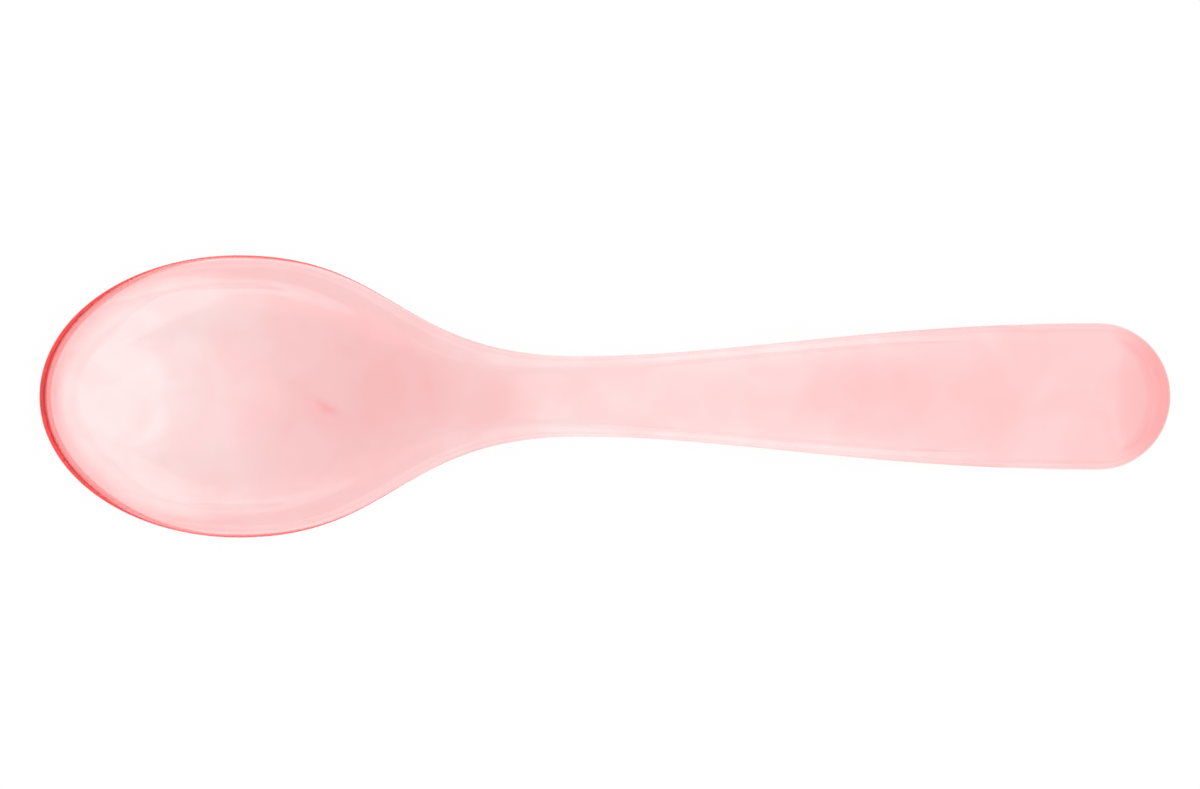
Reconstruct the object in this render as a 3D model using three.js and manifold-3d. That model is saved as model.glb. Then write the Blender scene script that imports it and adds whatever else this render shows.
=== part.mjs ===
// Acrylic spoon: one moulding of tinted clear plastic, drawn as its bowl and its handle.
// Millimetres, +Z up. The spoon lies on a table at z = 0, bowl towards -X, handle towards +X.
// A station is a distance along the spoon from the bowl's tip.
import * as THREE from "three";
import { mergeVertices } from "three/addons/utils/BufferGeometryUtils.js";
import Module from "manifold-3d";

// Plan view
const overallLength = 150;
const bowlWidth = 37.4;
const tipToBowlWidest = 26.2;
const neckWidth = 10.6;
const tipToNeck = 71.5;
const handleWidth = 19.5;
const handleEndLength = 9.5; // from the handle's widest place to its end

// Side view, heights above the table
const tipRimHeight = 10;
const sideRimHeight = 8.6;
const tipToCrest = 80; // the handle's arch is highest here
const archClearance = 8.8; // room under the arch
const handleFootLength = 18; // the last stretch of the handle, which lies on the table
const footDepth = 0.15; // what the flats under the bowl and the handle's end take off the curved underside

// Wall thickness on the centre line
const frontWall = 1.2;
const frontWallLength = 6; // the wall keeps this thickness so far from the tip
const tipToRoot = 46; // where the bowl runs into the neck, the thickest place
const rootThickness = 3.6;
const neckThickness = 2.3;
const touchdownToFoot = 22; // the handle is thickest this far before it lies on the table
const touchdownThickness = 3.45;
const cornerThickness = 3.3; // where the handle's end begins to round
const endThickness = 4.1;

// Wall thickness just inside the rim
const sideWall = 1.8;
const shoulderWall = 2.8;
const neckWall = 1.6;

// Thickness of the round bead along the edge
const tipRimThickness = 2;
const flankRimThickness = 1.9; // half way from the tip to the bowl's widest place
const sideRimThickness = 2.9;
const shoulderRimThickness = 3;
const neckEdgeThickness = 1.35;
const cornerEdgeThickness = 3.2;
const bowlBeadLand = 1.2; // the bead keeps its thickness over this width inside its round edge
const bowlBeadFillet = 1.5; // and blends into the wall over this width
const handleBeadLand = 0.4;
const handleBeadFillet = 0.7;

// Shape of the curves: the share of its length over which a curve stays near the level of each end
const shoulderCurve = { leave: 0.463, arrive: 0.537 };
const flareCurve = { leave: 0.284, arrive: 0.434 };
const floorCurve = { leave: 0.42, arrive: 0.66 };
const archCurve = { leave: 0.36, arrive: 0.32 };
const tipCurve = { leave: 0.05, arrive: 0.75 };
const lipCurve = { leave: 0.25, arrive: 0.55 };
const rootCurve = { leave: 0.6, arrive: 0.25 };
const gripCurve = { leave: 0.75, arrive: 0.2 };
const edgeCurve = { leave: 0.65, arrive: 0.3 };
const endCurve = { leave: 0.7, arrive: 0.2 };
const evenCurve = { leave: 0.4, arrive: 0.4 };

// How full a section is: the share of the way out, to this power, gives the share of the rise
const tipFullness = 5.3;
const bowlFullness = 2.4;
const crownFullness = 2;

// How far the bowl's wall swells above that before the rim, as a share of the rise, so that the rim flares out
const sideLip = 0.135;
const shoulderLip = 0.21;
const lipSharpness = 8;

// Facets: steps along each stretch of half the outline, from the middle to the edge, and round the edge
const tipSteps = 16;
const shoulderSteps = 18;
const flareSteps = 14;
const endSteps = 12;
const acrossSteps = 12;
const acrossCrowding = 1.6; // above 1, the steps from the middle to the edge crowd towards the edge
const edgeSteps = 8;

const tint = 0xf9b4b4;

const { Manifold, Mesh } = await loadManifold();

async function loadManifold() {
  const wasm = await Module();
  wasm.setup();
  return wasm;
}

// A curve between two stops, each a station and a value there, level at both of its ends.
function ease([start, startValue], [end, endValue], { leave, arrive }) {
  const span = end - start;
  return new THREE.CubicBezierCurve(
    new THREE.Vector2(start, startValue),
    new THREE.Vector2(start + leave * span, startValue),
    new THREE.Vector2(end - arrive * span, endValue),
    new THREE.Vector2(end, endValue),
  );
}

// The value of such a curve at a station. Beyond its ends it stays level.
function valueAt(curve, station) {
  let low = 0;
  let high = 1;
  const halvings = 40;
  for (let i = 0; i < halvings; i++) {
    const middle = (low + high) / 2;
    if (curve.getPoint(middle).x < station) {
      low = middle;
    } else {
      high = middle;
    }
  }
  return curve.getPoint(low).y;
}

// A value that changes along the spoon, through stops. Each stretch has its own curve, and the last curve
// given holds for the stretches that are left.
function along(stops, ...shapes) {
  const curves = stops.slice(1).map((stop, i) => ease(stops[i], stop, shapes[i] ?? shapes.at(-1)));
  return (station) => {
    const curve = curves.find(({ v3 }) => station <= v3.x) ?? curves.at(-1);
    return valueAt(curve, station);
  };
}

const handleWidest = overallLength - handleEndLength;
const tipToFoot = overallLength - handleFootLength;
const tipToTouchdown = tipToFoot - touchdownToFoot;

const underside = along(
  [[tipToBowlWidest, -footDepth], [tipToCrest, archClearance], [tipToFoot, -footDepth]],
  floorCurve, archCurve,
);
const thickness = along(
  [
    [0, frontWall], [frontWallLength, frontWall], [tipToRoot, rootThickness], [tipToNeck, neckThickness],
    [tipToTouchdown, touchdownThickness], [handleWidest, cornerThickness], [overallLength, endThickness],
  ],
  evenCurve, evenCurve, rootCurve, gripCurve, evenCurve, endCurve,
);
const wallNearRim = along(
  [
    [0, frontWall], [tipToBowlWidest, sideWall], [tipToRoot, shoulderWall], [tipToCrest, neckWall],
    [handleWidest, cornerThickness], [overallLength, endThickness],
  ],
  evenCurve, evenCurve, evenCurve, edgeCurve, endCurve,
);
const edgeThickness = along(
  [
    [0, tipRimThickness], [tipToBowlWidest / 2, flankRimThickness], [tipToBowlWidest, sideRimThickness],
    [tipToRoot, shoulderRimThickness], [tipToCrest, neckEdgeThickness], [handleWidest, cornerEdgeThickness],
    [overallLength, endThickness],
  ],
  evenCurve, evenCurve, evenCurve, evenCurve, edgeCurve, endCurve,
);
const beadLand = along([[tipToRoot, bowlBeadLand], [tipToCrest, handleBeadLand]], evenCurve);
const beadFillet = along([[tipToRoot, bowlBeadFillet], [tipToCrest, handleBeadFillet]], evenCurve);
const fullness = along(
  [[0, tipFullness], [tipToBowlWidest, bowlFullness], [tipToCrest, crownFullness]],
  tipCurve, evenCurve,
);
const lip = along(
  [[0, 0], [tipToBowlWidest, sideLip], [tipToRoot, shoulderLip], [tipToCrest, 0]],
  lipCurve, evenCurve,
);
const rimLine = along(
  [
    [0, tipRimHeight - tipRimThickness / 2],
    [tipToBowlWidest, sideRimHeight - sideRimThickness / 2],
    [tipToCrest, archClearance + edgeThickness(tipToCrest) / 2],
  ],
  evenCurve,
);

// Height of the middle of the wall on the spoon's centre line.
function axisHeight(station) {
  return underside(station) + thickness(station) / 2;
}

// The same at the edge. The handle is flat underneath, from edge to edge.
function edgeHeight({ edge, edgeRadius }) {
  return edge.x < tipToCrest ? rimLine(edge.x) : underside(edge.x) + edgeRadius;
}

// Half of the plan outline, from the tip along the +Y side to the handle's end, each point with its outward
// direction: a quarter ellipse round the tip, the shoulder, the handle's flare, and a quarter ellipse at its end.
function halfOutline() {
  const points = [];
  const addEllipse = (centre, length, halfWidth, from, to, steps) => {
    for (let i = 0; i < steps; i++) {
      const angle = THREE.MathUtils.lerp(from, to, i / steps);
      const point = new THREE.Vector2(centre + length * Math.cos(angle), halfWidth * Math.sin(angle));
      const outward = new THREE.Vector2(halfWidth * Math.cos(angle), length * Math.sin(angle)).normalize();
      points.push({ point, outward });
    }
  };
  const addCurve = (curve, steps) => {
    for (let i = 0; i < steps; i++) {
      const tangent = curve.getTangent(i / steps);
      points.push({ point: curve.getPoint(i / steps), outward: new THREE.Vector2(-tangent.y, tangent.x) });
    }
  };
  const right = Math.PI / 2;
  const widest = [tipToBowlWidest, bowlWidth / 2];
  const neck = [tipToNeck, neckWidth / 2];
  const corner = [handleWidest, handleWidth / 2];
  addEllipse(tipToBowlWidest, tipToBowlWidest, bowlWidth / 2, 2 * right, right, tipSteps);
  addCurve(ease(widest, neck, shoulderCurve), shoulderSteps);
  addCurve(ease(neck, corner, flareCurve), flareSteps);
  addEllipse(handleWidest, handleEndLength, handleWidth / 2, right, 0, endSteps);
  points.push({ point: new THREE.Vector2(overallLength, 0), outward: new THREE.Vector2(1, 0) });
  return points;
}

// Ribs run from the centre line to the edge of the wall's middle surface, half the edge's thickness inside the
// outline. They stand square to the centre line, and fan out round the bowl's front and the handle's end.
function makeRibs() {
  const half = halfOutline().map(({ point, outward }) => {
    const edgeRadius = edgeThickness(point.x) / 2;
    const edge = point.clone().addScaledVector(outward, -edgeRadius);
    const spine = THREE.MathUtils.clamp(edge.x, tipToBowlWidest, handleWidest);
    return { edge, spine, edgeRadius };
  });
  const otherHalf = half.slice(1, -1).reverse().map(({ edge, spine, edgeRadius }) => {
    return { edge: new THREE.Vector2(edge.x, -edge.y), spine, edgeRadius };
  });
  return [...half, ...otherHalf];
}

// A point of the wall's middle surface, a share of the way along a rib.
function middlePoint(rib, share) {
  const { edge, spine } = rib;
  const station = THREE.MathUtils.lerp(spine, edge.x, share);
  const rise = edgeHeight(rib) - axisHeight(edge.x);
  const swell = 1 + lip(edge.x) * (1 - share ** lipSharpness);
  const height = axisHeight(station) + rise * share ** fullness(edge.x) * swell;
  return new THREE.Vector3(station, share * edge.y, height);
}

// Half the wall's thickness there: from the centre line's to the one just inside the rim, and then the bead's.
function halfWall({ edge, spine, edgeRadius }, share) {
  const station = THREE.MathUtils.lerp(spine, edge.x, share);
  const wall = THREE.MathUtils.lerp(thickness(station) / 2, wallNearRim(edge.x) / 2, share ** 2);
  const fromEdge = (1 - share) * Math.hypot(edge.x - spine, edge.y);
  const land = beadLand(edge.x);
  const toWall = THREE.MathUtils.smoothstep(fromEdge, land, land + beadFillet(edge.x));
  return THREE.MathUtils.lerp(edgeRadius, wall, toWall);
}

// The spoon's section on one rib: out along the top, round the edge in a half circle, and back underneath.
function ribSection(ribs, index) {
  const rib = ribs[index];
  const before = ribs.at(index - 1);
  const after = ribs[(index + 1) % ribs.length];
  const nudge = 0.002;
  const alongRim = (share) => middlePoint(after, share).sub(middlePoint(before, share));
  const upward = (share) => {
    if (share === 0) {
      const slope = (axisHeight(rib.spine + nudge) - axisHeight(rib.spine - nudge)) / (2 * nudge);
      return new THREE.Vector3(-slope, 0, 1).normalize();
    }
    const outwards = middlePoint(rib, share + nudge).sub(middlePoint(rib, share - nudge));
    return alongRim(share).cross(outwards).normalize();
  };
  const top = [];
  const bottom = [];
  for (let i = 0; i <= acrossSteps; i++) {
    const share = 1 - (1 - i / acrossSteps) ** acrossCrowding;
    const offset = upward(share).multiplyScalar(halfWall(rib, share));
    top.push(middlePoint(rib, share).add(offset));
    bottom.unshift(middlePoint(rib, share).sub(offset));
  }
  const up = upward(1);
  const out = up.clone().cross(alongRim(1)).normalize();
  const bead = [];
  for (let i = 1; i < edgeSteps; i++) {
    const angle = (Math.PI * i) / edgeSteps;
    const direction = up.clone().multiplyScalar(Math.cos(angle)).addScaledVector(out, Math.sin(angle));
    bead.push(middlePoint(rib, 1).addScaledVector(direction, rib.edgeRadius));
  }
  return [...top, ...bead, ...bottom];
}

// The skin of the whole spoon, stretched over the sections of all the ribs.
function spoonSkin() {
  const ribs = makeRibs();
  const sections = ribs.map((rib, index) => ribSection(ribs, index));
  const corners = [];
  sections.forEach((section, index) => {
    const next = sections[(index + 1) % sections.length];
    for (let j = 0; j + 1 < section.length; j++) {
      corners.push(section[j], next[j], next[j + 1], section[j], next[j + 1], section[j + 1]);
    }
  });
  return new THREE.BufferGeometry().setFromPoints(corners);
}

// A solid from a closed geometry. Faces that shrink to a line, where ribs meet, are left out.
function solidFrom(geometry) {
  const bare = new THREE.BufferGeometry().setAttribute("position", geometry.getAttribute("position"));
  const merged = mergeVertices(geometry.index ? bare.setIndex(geometry.index) : bare);
  const index = merged.index.array;
  const triangles = [];
  for (let i = 0; i < index.length; i += 3) {
    const [a, b, c] = index.slice(i, i + 3);
    if (a !== b && b !== c && c !== a) {
      triangles.push(a, b, c);
    }
  }
  const vertProperties = new Float32Array(merged.getAttribute("position").array);
  return new Manifold(new Mesh({ numProp: 3, vertProperties, triVerts: new Uint32Array(triangles) }));
}

// The part of the solid above the table and between two stations.
function stretchOf(solid, start, end) {
  const room = 2 * overallLength;
  const block = new THREE.BoxGeometry(end - start, room, room).translate((start + end) / 2, 0, room / 2);
  return solid.intersect(solidFrom(block));
}

function namedMesh(name, solid, material) {
  const { vertProperties, triVerts } = solid.getMesh();
  const geometry = new THREE.BufferGeometry();
  geometry.setAttribute("position", new THREE.BufferAttribute(vertProperties, 3));
  geometry.setIndex(new THREE.BufferAttribute(triVerts, 1));
  geometry.computeVertexNormals();
  const mesh = new THREE.Mesh(geometry, material);
  mesh.name = name;
  return mesh;
}

function acrylic() {
  const look = { color: tint, roughness: 0.1, metalness: 0, transparent: true, opacity: 0.7 };
  return new THREE.MeshStandardMaterial(look);
}

const wholeSpoon = solidFrom(spoonSkin());
const endMargin = overallLength;

const spoon = new THREE.Group();
spoon.position.x = -overallLength / 2;
spoon.add(namedMesh("bowl", stretchOf(wholeSpoon, -endMargin, tipToNeck), acrylic()));
spoon.add(namedMesh("handle", stretchOf(wholeSpoon, tipToNeck, overallLength + endMargin), acrylic()));

export default spoon;
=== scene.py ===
from types import SimpleNamespace

import bpy
import numpy as np
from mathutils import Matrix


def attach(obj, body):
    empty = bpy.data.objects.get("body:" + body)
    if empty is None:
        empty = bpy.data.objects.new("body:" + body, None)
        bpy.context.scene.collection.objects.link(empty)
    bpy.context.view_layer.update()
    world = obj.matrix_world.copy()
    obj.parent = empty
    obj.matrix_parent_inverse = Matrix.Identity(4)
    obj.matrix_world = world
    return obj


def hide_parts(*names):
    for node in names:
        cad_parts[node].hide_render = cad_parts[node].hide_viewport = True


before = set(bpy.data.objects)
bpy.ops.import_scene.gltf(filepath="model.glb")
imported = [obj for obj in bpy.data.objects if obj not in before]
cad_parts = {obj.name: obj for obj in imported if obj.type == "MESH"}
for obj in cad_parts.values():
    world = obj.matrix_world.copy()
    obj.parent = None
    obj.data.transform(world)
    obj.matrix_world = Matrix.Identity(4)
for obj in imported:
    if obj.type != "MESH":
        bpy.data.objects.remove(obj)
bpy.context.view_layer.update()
mm = 0.001


# Colour as written, sRGB hex, to the linear values that shaders take
def linearColour(hexCode):
    srgb = np.array([int(hexCode[i:i + 2], 16) for i in (1, 3, 5)]) / 255
    linear = np.where(srgb <= 0.04045, srgb / 12.92, ((srgb + 0.055) / 1.055) ** 2.4)
    return (*linear, 1.0)


# Adds a node, sets its properties and sockets by name or number, and links sockets to other nodes' outputs
def addNode(tree, kind, settings=None, links=None):
    node = tree.nodes.new(kind)
    for name, value in (settings or {}).items():
        if isinstance(name, int) or name in node.inputs:
            node.inputs[name].default_value = value
        else:
            setattr(node, name, value)
    for name, output in (links or {}).items():
        tree.links.new(output, node.inputs[name])
    return node


def newMaterial(name):
    material = bpy.data.materials.new(name)
    material.use_nodes = True
    material.node_tree.nodes.clear()
    return material, material.node_tree


# Millimetres. A station is a distance along the spoon from the bowl's tip
spoonForm = {
    # Plan and side view
    "overallLength": 150.0,
    "bowlWidth": 37.4,
    "tipToBowlWidest": 26.2,
    "neckWidth": 10.6,
    "tipToNeck": 71.5,
    "handleWidth": 19.5,
    "handleEndLength": 9.5,
    "tipRimHeight": 10.0,
    "sideRimHeight": 8.6,
    "tipToCrest": 80.0,
    "archClearance": 8.8,
    "handleFootLength": 18.0,
    "footDepth": 0.15,
    "footBlend": 0.06,  # half the height over which the underside rounds into the flats
    # Wall on the centre line
    "frontWall": 1.2,
    "frontWallLength": 6.0,
    "tipToRoot": 46.0,
    "rootThickness": 3.6,
    "neckThickness": 2.3,
    "touchdownToFoot": 22.0,
    "touchdownThickness": 3.45,
    "cornerThickness": 3.3,
    "endThickness": 4.1,
    # Wall just inside the rim
    "sideWall": 1.8,
    "shoulderWall": 2.8,
    "neckWall": 1.6,
    # Round bead along the edge
    "tipRimThickness": 2.0,
    "flankRimThickness": 1.9,
    "sideRimThickness": 2.9,
    "shoulderRimThickness": 3.0,
    "neckEdgeThickness": 1.35,
    "cornerEdgeThickness": 3.2,
    "bowlBeadLand": 1.2,  # the bead keeps its thickness over this width inside its round edge
    "bowlBeadFillet": 1.5,  # and blends into the wall over this width
    "handleBeadLand": 0.4,
    "handleBeadFillet": 0.7,
    # Shares of a curve's length over which it stays near the level of its two ends
    "shoulderCurve": (0.463, 0.537),
    "flareCurve": (0.284, 0.434),
    "floorCurve": (0.42, 0.66),
    "archCurve": (0.36, 0.32),
    "tipCurve": (0.05, 0.75),
    "lipCurve": (0.25, 0.55),
    "rootCurve": (0.6, 0.25),
    "gripCurve": (0.75, 0.2),
    "edgeCurve": (0.65, 0.3),
    "endCurve": (0.7, 0.2),
    "evenCurve": (0.4, 0.4),
    # Powers by which the wall rises to the rim, and how far it swells above that
    "tipFullness": 5.3,
    "bowlFullness": 2.4,
    "crownFullness": 2.0,
    "sideLip": 0.135,
    "shoulderLip": 0.21,
    "lipSharpness": 8.0,
    # Scar of the gate under the bowl, where the plastic was cut from its runner
    "scarPlace": (38.0, -1.6),
    "scarTurn": -25.0,  # degrees
    "scarLength": 1.7,
    "scarWidth": 0.7,
    "scarHeight": 0.35,
    # Painted shade round the two ends, each from none to all of it: a deeper pink in the colour that stands
    # in for the light which the rounded ends bend away and carry along inside the rim
    "endStations": (141.5, 149.0),
    "endWidths": (2.9, 1.2),  # inwards from the edge
    "frontStations": (30.0, 14.0),
    "frontWidths": (2.3, 0.9),
    "frontEdge": (0.55, 0.85),  # the edge itself has none
    "frontShadeShare": 0.7,  # the share of it that the front has, apart from the very tip
    "tipStations": (0.5, 0.1),
    # Grid
    "ribs": 720,
    "acrossSteps": 40,
    "edgeSteps": 32,
}
curveSteps = 2000  # points on each stretch of a worked-out curve
slopeStep = 0.002  # mm along the spoon, or share of the way out, over which a slope is taken
sameDecimals = 5  # points that agree to this many decimals of a millimetre are one


# Points of a curve through stops (station, value): each stretch is a cubic with a level handle at either
# end, whose lengths are given as shares of the stretch
def easeCurve(stops, shapes):
    t = np.linspace(0, 1, curveSteps)
    near = (1 - t) ** 3 + 3 * (1 - t) ** 2 * t
    far = 3 * (1 - t) * t ** 2 + t ** 3
    stations, values = [], []
    for (start, startValue), (end, endValue), (leave, arrive) in zip(stops, stops[1:], shapes):
        share = 3 * (1 - t) ** 2 * t * leave + 3 * (1 - t) * t ** 2 * (1 - arrive) + t ** 3
        stations.append(start + (end - start) * share)
        values.append(near * startValue + far * endValue)
    return np.concatenate(stations), np.concatenate(values)


# The same curve as a function of the station, level beyond its ends. The last shape given holds for the rest
def along(stops, *shapes):
    missing = len(stops) - 1 - len(shapes)
    stations, values = easeCurve(stops, shapes + shapes[-1:] * missing)
    return lambda station: np.interp(station, stations, values)


# Smooth change from 0 to 1 between two limits: three times the square of the part less twice its cube
def smoothStep(value, start, end):
    part = np.clip((value - start) / (end - start), 0, 1)
    return part ** 2 * (3 - 2 * part)


# What changes along the spoon, each as a function of the station
def spoonCurves(form):
    size = SimpleNamespace(**form)
    widest, root, neck, crest = size.tipToBowlWidest, size.tipToRoot, size.tipToNeck, size.tipToCrest
    length, even, edge, last = size.overallLength, size.evenCurve, size.edgeCurve, size.endCurve
    corner = length - size.handleEndLength
    foot = length - size.handleFootLength
    curves = SimpleNamespace()
    curves.underside = along(
        [(widest, -size.footDepth), (crest, size.archClearance), (foot, -size.footDepth)],
        size.floorCurve, size.archCurve)
    curves.thickness = along(
        [(0, size.frontWall), (size.frontWallLength, size.frontWall), (root, size.rootThickness),
         (neck, size.neckThickness), (foot - size.touchdownToFoot, size.touchdownThickness),
         (corner, size.cornerThickness), (length, size.endThickness)],
        even, even, size.rootCurve, size.gripCurve, even, last)
    curves.wallNearRim = along(
        [(0, size.frontWall), (widest, size.sideWall), (root, size.shoulderWall), (crest, size.neckWall),
         (corner, size.cornerThickness), (length, size.endThickness)],
        even, even, even, edge, last)
    curves.edgeThickness = along(
        [(0, size.tipRimThickness), (widest / 2, size.flankRimThickness), (widest, size.sideRimThickness),
         (root, size.shoulderRimThickness), (crest, size.neckEdgeThickness),
         (corner, size.cornerEdgeThickness), (length, size.endThickness)],
        even, even, even, even, edge, last)
    curves.beadLand = along([(root, size.bowlBeadLand), (crest, size.handleBeadLand)], even)
    curves.beadFillet = along([(root, size.bowlBeadFillet), (crest, size.handleBeadFillet)], even)
    curves.fullness = along(
        [(0, size.tipFullness), (widest, size.bowlFullness), (crest, size.crownFullness)],
        size.tipCurve, even)
    curves.lip = along(
        [(0, 0), (widest, size.sideLip), (root, size.shoulderLip), (crest, 0)], size.lipCurve, even)
    curves.rimLine = along(
        [(0, size.tipRimHeight - size.tipRimThickness / 2),
         (widest, size.sideRimHeight - size.sideRimThickness / 2),
         (crest, size.archClearance + curves.edgeThickness(crest) / 2)], even)
    curves.axisHeight = lambda station: curves.underside(station) + curves.thickness(station) / 2
    return curves


# Plan outline as a closed loop with even steps: quarter ellipse at the tip, shoulder, flare, quarter ellipse
# at the handle's end, and the mirror image back along the other side
def planOutline(form):
    widest, length = form["tipToBowlWidest"], form["overallLength"]
    handleWidest = length - form["handleEndLength"]
    angle = np.linspace(np.pi, np.pi / 2, curveSteps)
    tip = widest + widest * np.cos(angle), form["bowlWidth"] / 2 * np.sin(angle)
    sides = easeCurve(
        [(widest, form["bowlWidth"] / 2), (form["tipToNeck"], form["neckWidth"] / 2),
         (handleWidest, form["handleWidth"] / 2)],
        [form["shoulderCurve"], form["flareCurve"]])
    angle = np.linspace(np.pi / 2, 0, curveSteps)
    end = handleWidest + form["handleEndLength"] * np.cos(angle), form["handleWidth"] / 2 * np.sin(angle)
    half = np.concatenate([np.stack(part, 1) for part in (tip, sides, end)])
    travelled = np.concatenate([[0], np.cumsum(np.linalg.norm(np.diff(half, axis=0), axis=1))])
    even = np.linspace(0, travelled[-1], form["ribs"] // 2 + 1)
    half = np.stack([np.interp(even, travelled, half[:, axis]) for axis in (0, 1)], 1)
    half[[0, -1], 1] = 0
    return np.concatenate([half, half[-2:0:-1] * (1, -1)])


# Ribs from the centre line to the middle of the bead along the edge: where each starts and ends in plan, the
# bead's radius there, and how far the rib rises
def spoonRibs(form, curves):
    outline = planOutline(form)
    onward = np.roll(outline, -1, axis=0) - np.roll(outline, 1, axis=0)
    outward = np.stack([-onward[:, 1], onward[:, 0]], 1)
    outward /= np.linalg.norm(outward, axis=1, keepdims=True)
    radius = curves.edgeThickness(outline[:, :1]) / 2
    edge = outline - outward * radius
    station = edge[:, :1]
    spine = np.clip(station, form["tipToBowlWidest"], form["overallLength"] - form["handleEndLength"])
    flatHeight = curves.underside(station) + radius
    height = np.where(station < form["tipToCrest"], curves.rimLine(station), flatHeight)
    return SimpleNamespace(
        outline=outline, outward=outward, radius=radius, edge=edge, station=station, spine=spine,
        rise=height - curves.axisHeight(station))


# The wall's middle surface at a share of the way out along each rib: it rises from the centre line to the
# rim by a power of the share, and swells a little above that before the rim
def middleSurface(form, curves, ribs, share):
    station = ribs.spine + (ribs.station - ribs.spine) * share
    swell = 1 + curves.lip(ribs.station) * (1 - share ** form["lipSharpness"])
    height = curves.axisHeight(station) + ribs.rise * share ** curves.fullness(ribs.station) * swell
    return np.stack([station, ribs.edge[:, 1:] * share, height], 2)


# Half the wall's thickness: from the centre line's to the one inside the rim by the square of the share,
# then blended into the bead's radius near the edge
def halfWall(curves, ribs, share, stations):
    wall = curves.thickness(stations) / 2
    wall += (curves.wallNearRim(ribs.station) / 2 - wall) * share ** 2
    fromEdge = (1 - share) * np.hypot(ribs.station - ribs.spine, ribs.edge[:, 1:])
    land, fillet = curves.beadLand(ribs.station), curves.beadFillet(ribs.station)
    return wall + (ribs.radius - wall) * (1 - smoothStep(fromEdge, land, land + fillet))


# The scar as a low bell, 1 at its middle: e to minus the squares of the distances along and across it, each
# counted in its own length
def scarBell(form, places):
    turn = np.radians(form["scarTurn"])
    away = places - form["scarPlace"]
    lengthwise = away @ (np.cos(turn), np.sin(turn)) / form["scarLength"]
    crosswise = away @ (-np.sin(turn), np.cos(turn)) / form["scarWidth"]
    return np.exp(-lengthwise ** 2 - crosswise ** 2)


# Share of painted shade, a deeper pink that stands in for the light which the rounded edges bend away and
# carry along the rim, by
# the distance inwards from the outline: along the handle's round end, and just inside the rim at the bowl's
# front, where only the very tip has all of it
def paintedShadeAtEnds(form, ribs, grid):
    station = ribs.outline[:, :1]
    inward = np.sum((ribs.outline[:, None] - grid[:, :, :2]) * ribs.outward[:, None], axis=2)
    handle = smoothStep(station, *form["endStations"]) * smoothStep(inward, *form["endWidths"])
    front = smoothStep(station, *form["frontStations"]) * smoothStep(inward, *form["frontWidths"])
    front *= smoothStep(inward, *form["frontEdge"])
    front *= form["frontShadeShare"] + (1 - form["frontShadeShare"]) * smoothStep(station, *form["tipStations"])
    return np.maximum(handle, front)


# The spoon as one closed skin. Each rib carries a section: out along the top, round the edge in a half
# circle, back underneath, with half the wall on either side of the middle surface
def spoonGrid(form):
    curves = spoonCurves(form)
    ribs = spoonRibs(form, curves)
    share = np.linspace(0, 1, form["acrossSteps"] + 1)[None, :]
    surface = middleSurface(form, curves, ribs, share)
    further = middleSurface(form, curves, ribs, share + slopeStep)
    nearer = middleSurface(form, curves, ribs, np.maximum(share - slopeStep, 0))
    alongRim = np.roll(surface, -1, axis=0) - np.roll(surface, 1, axis=0)
    up = np.cross(alongRim, further - nearer)
    # On the centre line the way up comes from the slope along the spoon
    climb = curves.axisHeight(ribs.spine + slopeStep) - curves.axisHeight(ribs.spine - slopeStep)
    slope = climb / (2 * slopeStep)
    up[:, 0] = np.concatenate([-slope, np.zeros_like(slope), np.ones_like(slope)], 1)
    up /= np.linalg.norm(up, axis=2, keepdims=True)

    wall = halfWall(curves, ribs, share, surface[:, :, 0])[:, :, None]
    top = surface + up * wall
    under = surface - up * wall
    scar = scarBell(form, under[:, :, :2])
    under[:, :, 2] -= form["scarHeight"] * scar

    out = np.cross(up[:, -1], alongRim[:, -1])
    out /= np.linalg.norm(out, axis=1, keepdims=True)
    angle = (np.pi * np.arange(1, form["edgeSteps"]) / form["edgeSteps"])[None, :, None]
    bead = up[:, -1:] * np.cos(angle) + out[:, None] * np.sin(angle)
    bead = surface[:, -1:] + bead * ribs.radius[:, :, None]
    grid = np.concatenate([top, bead, under[:, ::-1]], axis=1)

    # The scar's own tint is denser too and goes into the same share as the painted shade at the ends; the
    # scar lies in the last columns, those of the underside
    edgeShadeAndScar = paintedShadeAtEnds(form, ribs, grid)
    edgeShadeAndScar[:, -share.size:] = np.maximum(edgeShadeAndScar[:, -share.size:], scar[:, ::-1])

    # The underside is cut flat at the table, with a small round where the flat begins
    blend = form["footBlend"]
    low = np.clip(grid[:, :, 2], -blend, blend)
    grid[:, :, 2] = np.maximum(grid[:, :, 2], blend) - blend + (low + blend) ** 2 / (4 * blend)
    grid[:, :, 0] -= form["overallLength"] / 2
    return grid, edgeShadeAndScar


# Puts a grid that closes on itself round its first axis into a mesh. Points that coincide, on the centre
# line and where ribs fan out, become one, and quads that lose a side there become triangles
def meshFromGrid(name, grid, attributes):
    rows, columns = grid.shape[:2]
    points, first, index = np.unique(
        grid.reshape(-1, 3).round(sameDecimals), axis=0, return_index=True, return_inverse=True)
    index = index.reshape(rows, columns)
    following = np.roll(index, -1, axis=0)
    quads = np.stack([index[:, :-1], following[:, :-1], following[:, 1:], index[:, 1:]], 2).reshape(-1, 4)
    topPole, lowPole = quads[:, 0] == quads[:, 1], quads[:, 2] == quads[:, 3]
    faces = quads[~topPole & ~lowPole].tolist()
    faces += quads[topPole & ~lowPole][:, [0, 2, 3]].tolist()
    faces += quads[lowPole & ~topPole][:, [0, 1, 2]].tolist()
    mesh = bpy.data.meshes.new(name)
    mesh.from_pydata((points * mm).tolist(), [], faces)
    mesh.polygons.foreach_set("use_smooth", np.ones(len(faces), bool))
    for label, values in attributes.items():
        layer = mesh.attributes.new(label, "FLOAT", "POINT")
        layer.data.foreach_set("value", values.reshape(-1)[first].astype(np.float32))
    mesh.update()
    piece = bpy.data.objects.new(name, mesh)
    bpy.context.scene.collection.objects.link(piece)
    return piece


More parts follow.
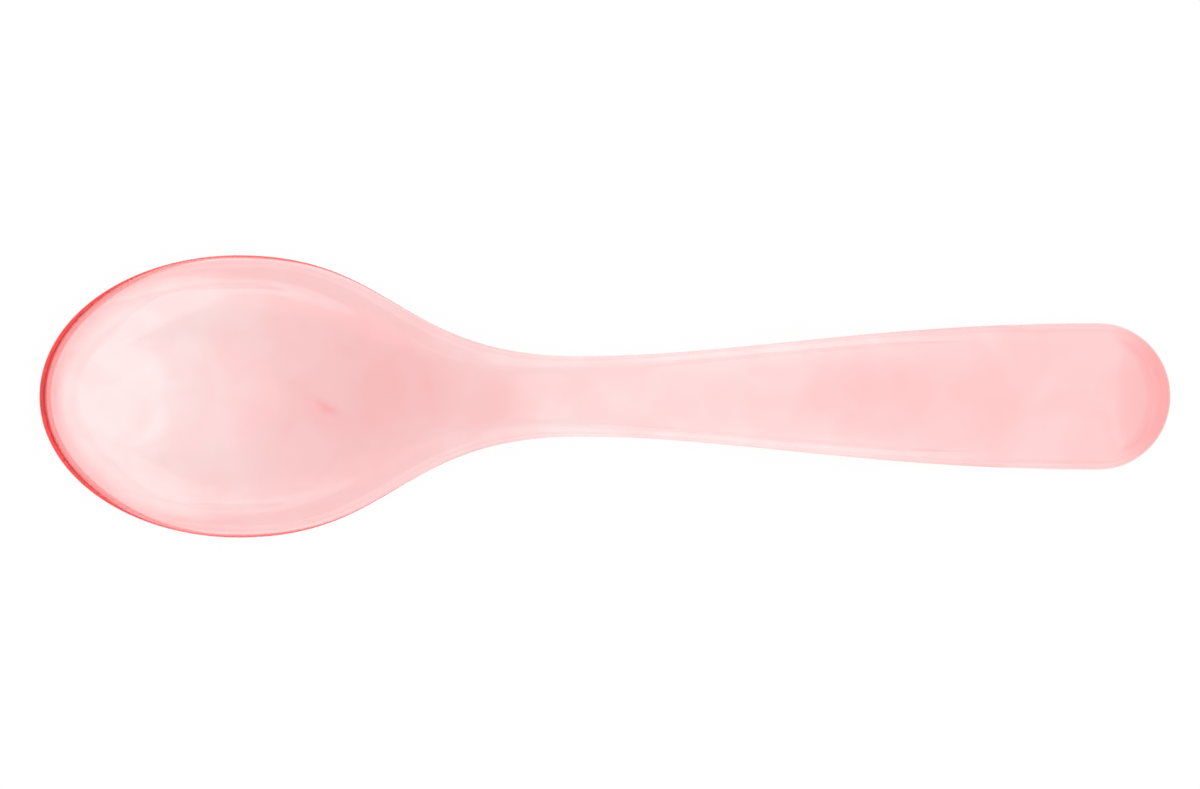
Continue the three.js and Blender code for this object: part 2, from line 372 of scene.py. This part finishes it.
# Acrylic (PMMA), injection moulded in a polished mould and tinted through: clear, wet-looking gloss, a pink
# that deepens with the length of plastic that the light has crossed, faint clouds where the tint mixed
# unevenly as the plastic flowed, and slow ripples where it shrank
acrylicLook = {
    "clear": "#fffdfd",
    "cloud": "#fff3f2",
    # The next colour is painted shade round the rounded ends, a deeper pink standing in for light they bend
    # away and carry along the rim; the scar takes it too as its own denser tint
    "edgeShadeAndScarPink": "#ffd6d4",
    "transmission": 0.985,
    "ior": 1.49,
    "roughness": (0.08, 0.13),
    "volumeColour": "#fe7c7e",  # lets nearly all the red through, and absorbs green and blue
    "volumeDensity": 178.0,  # per metre
    "cloudSize": 7.0,  # mm
    "cloudSeed": 399.0,
    "cloudDetail": 3.0,
    "cloudRoughness": 0.55,
    "cloudDistortion": 0.6,
    "cloudLimits": (0.35, 0.65),  # noise values at which the plastic is clear and cloudy
    "rippleSize": 9.0,  # mm
    "rippleDetail": 1.0,
    "rippleHeight": 0.03,  # mm
}


def mouldedAcrylic(look):
    material, tree = newMaterial("moulded_pink_acrylic")
    place = addNode(tree, "ShaderNodeTexCoord")
    clouds = addNode(
        tree, "ShaderNodeTexNoise",
        {"noise_dimensions": "4D", "W": look["cloudSeed"], "Scale": 1 / (look["cloudSize"] * mm),
         "Detail": look["cloudDetail"], "Roughness": look["cloudRoughness"],
         "Distortion": look["cloudDistortion"]},
        {"Vector": place.outputs["Object"]})
    clear, cloudy = look["cloudLimits"]
    cloudShare = addNode(
        tree, "ShaderNodeMapRange", {"From Min": clear, "From Max": cloudy},
        {"Value": clouds.outputs["Fac"]})
    # Inputs 0, 6 and 7 of a colour mix are its share and its two colours, and output 2 is the result
    tinted = addNode(
        tree, "ShaderNodeMix",
        {"data_type": "RGBA", 6: linearColour(look["clear"]), 7: linearColour(look["cloud"])},
        {0: cloudShare.outputs["Result"]})
    # Painted shade: this point attribute mixes a deeper pink into the colour round the rounded ends,
    # standing in for light bent away and carried along the rim, and at the scar
    edgeShadeAndScar = addNode(tree, "ShaderNodeAttribute", {"attribute_name": "paintedEdgeShadeAndScar"})
    colour = addNode(
        tree, "ShaderNodeMix", {"data_type": "RGBA", 7: linearColour(look["edgeShadeAndScarPink"])},
        {0: edgeShadeAndScar.outputs["Fac"], 6: tinted.outputs[2]})
    smooth, rough = look["roughness"]
    gloss = addNode(
        tree, "ShaderNodeMapRange", {"To Min": smooth, "To Max": rough}, {"Value": clouds.outputs["Fac"]})
    ripples = addNode(
        tree, "ShaderNodeTexNoise",
        {"Scale": 1 / (look["rippleSize"] * mm), "Detail": look["rippleDetail"]},
        {"Vector": place.outputs["Object"]})
    rippled = addNode(
        tree, "ShaderNodeBump", {"Distance": look["rippleHeight"] * mm}, {"Height": ripples.outputs["Fac"]})
    shader = addNode(
        tree, "ShaderNodeBsdfPrincipled",
        {"IOR": look["ior"], "Transmission Weight": look["transmission"]},
        {"Base Color": colour.outputs[2], "Roughness": gloss.outputs["Result"],
         "Normal": rippled.outputs["Normal"]})
    tint = addNode(
        tree, "ShaderNodeVolumeAbsorption",
        {"Color": linearColour(look["volumeColour"]), "Density": look["volumeDensity"]})
    addNode(tree, "ShaderNodeOutputMaterial", links={
        "Surface": shader.outputs["BSDF"], "Volume": tint.outputs["Volume"]})
    return material


# The skin comes with its share of painted shade round the two ends, and the scar's denser tint, kept as a
# point attribute
spoonSkin, paintedEdgeShadeAndScar = spoonGrid(spoonForm)
spoon = meshFromGrid("spoon", spoonSkin, {"paintedEdgeShadeAndScar": paintedEdgeShadeAndScar})
spoon.data.materials.append(mouldedAcrylic(acrylicLook))
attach(spoon, "root")
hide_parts("bowl", "handle")
print("spoon made,", len(spoon.data.polygons), "faces")


# Plain white table. What the camera, gloss and glass see of it is mostly its own white, and the rest is lit,
# so that the spoon's soft shadow stays
tableLook = {
    "size": 6.0,  # m
    "drop": 0.05,  # mm below the spoon
    "white": "#fbfbfb",
    "selfLit": 0.93,
}


def whiteTable(look):
    half, level = look["size"] / 2, -look["drop"] * mm
    mesh = bpy.data.meshes.new("table")
    corners = [(-half, -half, level), (half, -half, level), (half, half, level), (-half, half, level)]
    mesh.from_pydata(corners, [], [(0, 1, 2, 3)])
    table = bpy.data.objects.new("table", mesh)
    bpy.context.scene.collection.objects.link(table)
    material, tree = newMaterial("white_table")
    path = addNode(tree, "ShaderNodeLightPath")
    direct = addNode(
        tree, "ShaderNodeMath", {"operation": "ADD"},
        {0: path.outputs["Is Camera Ray"], 1: path.outputs["Is Glossy Ray"]})
    seen = addNode(
        tree, "ShaderNodeMath", {"operation": "ADD", "use_clamp": True},
        {0: direct.outputs[0], 1: path.outputs["Is Transmission Ray"]})
    share = addNode(
        tree, "ShaderNodeMath", {"operation": "MULTIPLY", 1: look["selfLit"]}, {0: seen.outputs[0]})
    lit = addNode(tree, "ShaderNodeBsdfDiffuse", {"Color": linearColour(look["white"])})
    own = addNode(tree, "ShaderNodeEmission", {"Color": (1, 1, 1, 1), "Strength": 1.0})
    both = addNode(
        tree, "ShaderNodeMixShader", links={0: share.outputs[0], 1: lit.outputs[0], 2: own.outputs[0]})
    addNode(tree, "ShaderNodeOutputMaterial", links={"Surface": both.outputs[0]})
    mesh.materials.append(material)
    return table


whiteTable(tableLook)
print("table made")


# Soft studio light, all of it in the room round the table: a large round white umbrella over the handle's
# side, a dimmer room, dimmest beyond the bowl, and bright walls low down on every side. Limits are parts of
# a direction of length 1
studio = {
    "umbrella": 1.85,
    "umbrellaLean": 47.0,  # degrees from overhead towards the handle
    "umbrellaSpread": (53.5, 50.5),  # degrees from its middle, where it ends and where it is full
    "room": 0.68,
    "dim": 0.45,
    "dimLimits": (-0.5, -0.38),  # along the spoon, from dim to room
    "walls": (1.95, 1.5),  # on the -Y side and on the +Y side
    "wallSides": (-0.8, 0.8),  # across the spoon, from the one to the other
    "wallTop": (0.48, 0.42),  # above the table, where they end and where they are full
}


def studioRoom(studio):
    world = bpy.data.worlds.new("studio_room")
    world.use_nodes = True
    tree = world.node_tree
    tree.nodes.clear()
    towards = addNode(tree, "ShaderNodeTexCoord").outputs["Generated"]
    parts = addNode(tree, "ShaderNodeSeparateXYZ", links={"Vector": towards})
    lean = np.radians(studio["umbrellaLean"])
    toUmbrella = addNode(
        tree, "ShaderNodeVectorMath", {"operation": "DOT_PRODUCT", 1: (np.sin(lean), 0, np.cos(lean))},
        {0: towards})
    brim, full = np.cos(np.radians(studio["umbrellaSpread"]))
    inUmbrella = addNode(
        tree, "ShaderNodeMapRange", {"interpolation_type": "SMOOTHSTEP", "From Min": brim, "From Max": full},
        {"Value": toUmbrella.outputs["Value"]})
    far, near = studio["dimLimits"]
    inRoom = addNode(
        tree, "ShaderNodeMapRange", {"interpolation_type": "SMOOTHSTEP", "From Min": far, "From Max": near},
        {"Value": parts.outputs["X"]})
    top, below = studio["wallTop"]
    onWall = addNode(
        tree, "ShaderNodeMapRange", {"interpolation_type": "SMOOTHSTEP", "From Min": top, "From Max": below},
        {"Value": parts.outputs["Z"]})
    (bright, plain), (oneSide, otherSide) = studio["walls"], studio["wallSides"]
    wall = addNode(
        tree, "ShaderNodeMapRange",
        {"From Min": oneSide, "From Max": otherSide, "To Min": bright, "To Max": plain},
        {"Value": parts.outputs["Y"]})
    # Inputs 0, 2 and 3 of a plain mix are its share and its two values
    dimmed = addNode(
        tree, "ShaderNodeMix", {2: studio["dim"], 3: studio["room"]}, {0: inRoom.outputs["Result"]})
    lit = addNode(
        tree, "ShaderNodeMix", {3: studio["umbrella"]},
        {0: inUmbrella.outputs["Result"], 2: dimmed.outputs[0]})
    walled = addNode(
        tree, "ShaderNodeMix",
        links={0: onWall.outputs["Result"], 2: lit.outputs[0], 3: wall.outputs["Result"]})
    room = addNode(tree, "ShaderNodeBackground", {"Color": (1, 1, 1, 1)}, {"Strength": walled.outputs[0]})
    addNode(tree, "ShaderNodeOutputWorld", links={"Surface": room.outputs[0]})
    bpy.context.scene.world = world


studioRoom(studio)
print("studio lit")


# Camera straight above, at the photograph's framing. Light crosses the plastic's faces many times on its way
# along a rim, so paths are long
view = {
    "lens": 250.0,
    "sensor": 36.0,
    "imageWidth": 1200,  # pixels
    "mmPerPixel": 0.13255,
    "centre": (-0.89, 0.25),
    "level": 6.0,  # height above the table at which that scale holds
    "bounces": 48,
}


def cameraAbove(view):
    camera = bpy.data.cameras.new("camera")
    camera.lens, camera.sensor_width = view["lens"], view["sensor"]
    distance = view["imageWidth"] * view["mmPerPixel"] * view["lens"] / view["sensor"]
    holder = bpy.data.objects.new("camera", camera)
    x, y = view["centre"]
    holder.location = (x * mm, y * mm, (view["level"] + distance) * mm)
    scene = bpy.context.scene
    scene.collection.objects.link(holder)
    scene.camera = holder
    scene.cycles.max_bounces = view["bounces"]
    scene.cycles.glossy_bounces = view["bounces"]
    scene.cycles.transmission_bounces = view["bounces"]
    scene.view_settings.view_transform = "Standard"


cameraAbove(view)
print("camera set")
